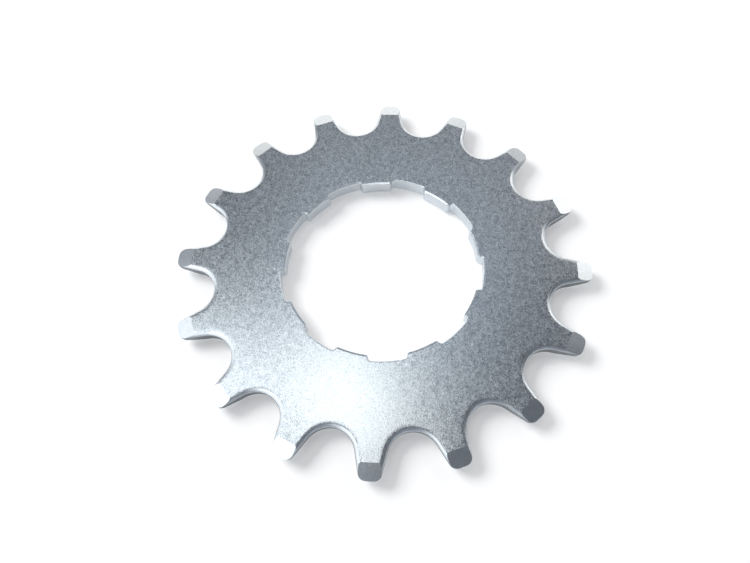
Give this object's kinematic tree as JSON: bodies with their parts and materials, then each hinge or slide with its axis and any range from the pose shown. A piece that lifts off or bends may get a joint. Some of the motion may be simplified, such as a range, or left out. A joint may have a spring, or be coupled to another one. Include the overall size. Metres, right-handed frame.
{
  "type": "bicycle sprocket",
  "caption": "Flat toothed steel ring with bevelled tooth tips and a splined bore; it slides on to a hub body and is driven by a roller chain.",
  "frame": {"origin": "on the axis the sprocket turns about, at its back face, which it lies on", "axes": "+Z along the axis, from the back face to the front face; +X through the middle of a tooth gap and of a spline tab"},
  "size_m": [0.0696, 0.0696, 0.0026],
  "materials": {
    "zinc_plated_steel": "satin zinc plating over blanked steel, with a fine speckled grain"
  },
  "bodies": {
    "root": {"sprocket": "zinc_plated_steel"}
  },
  "joints": []
}
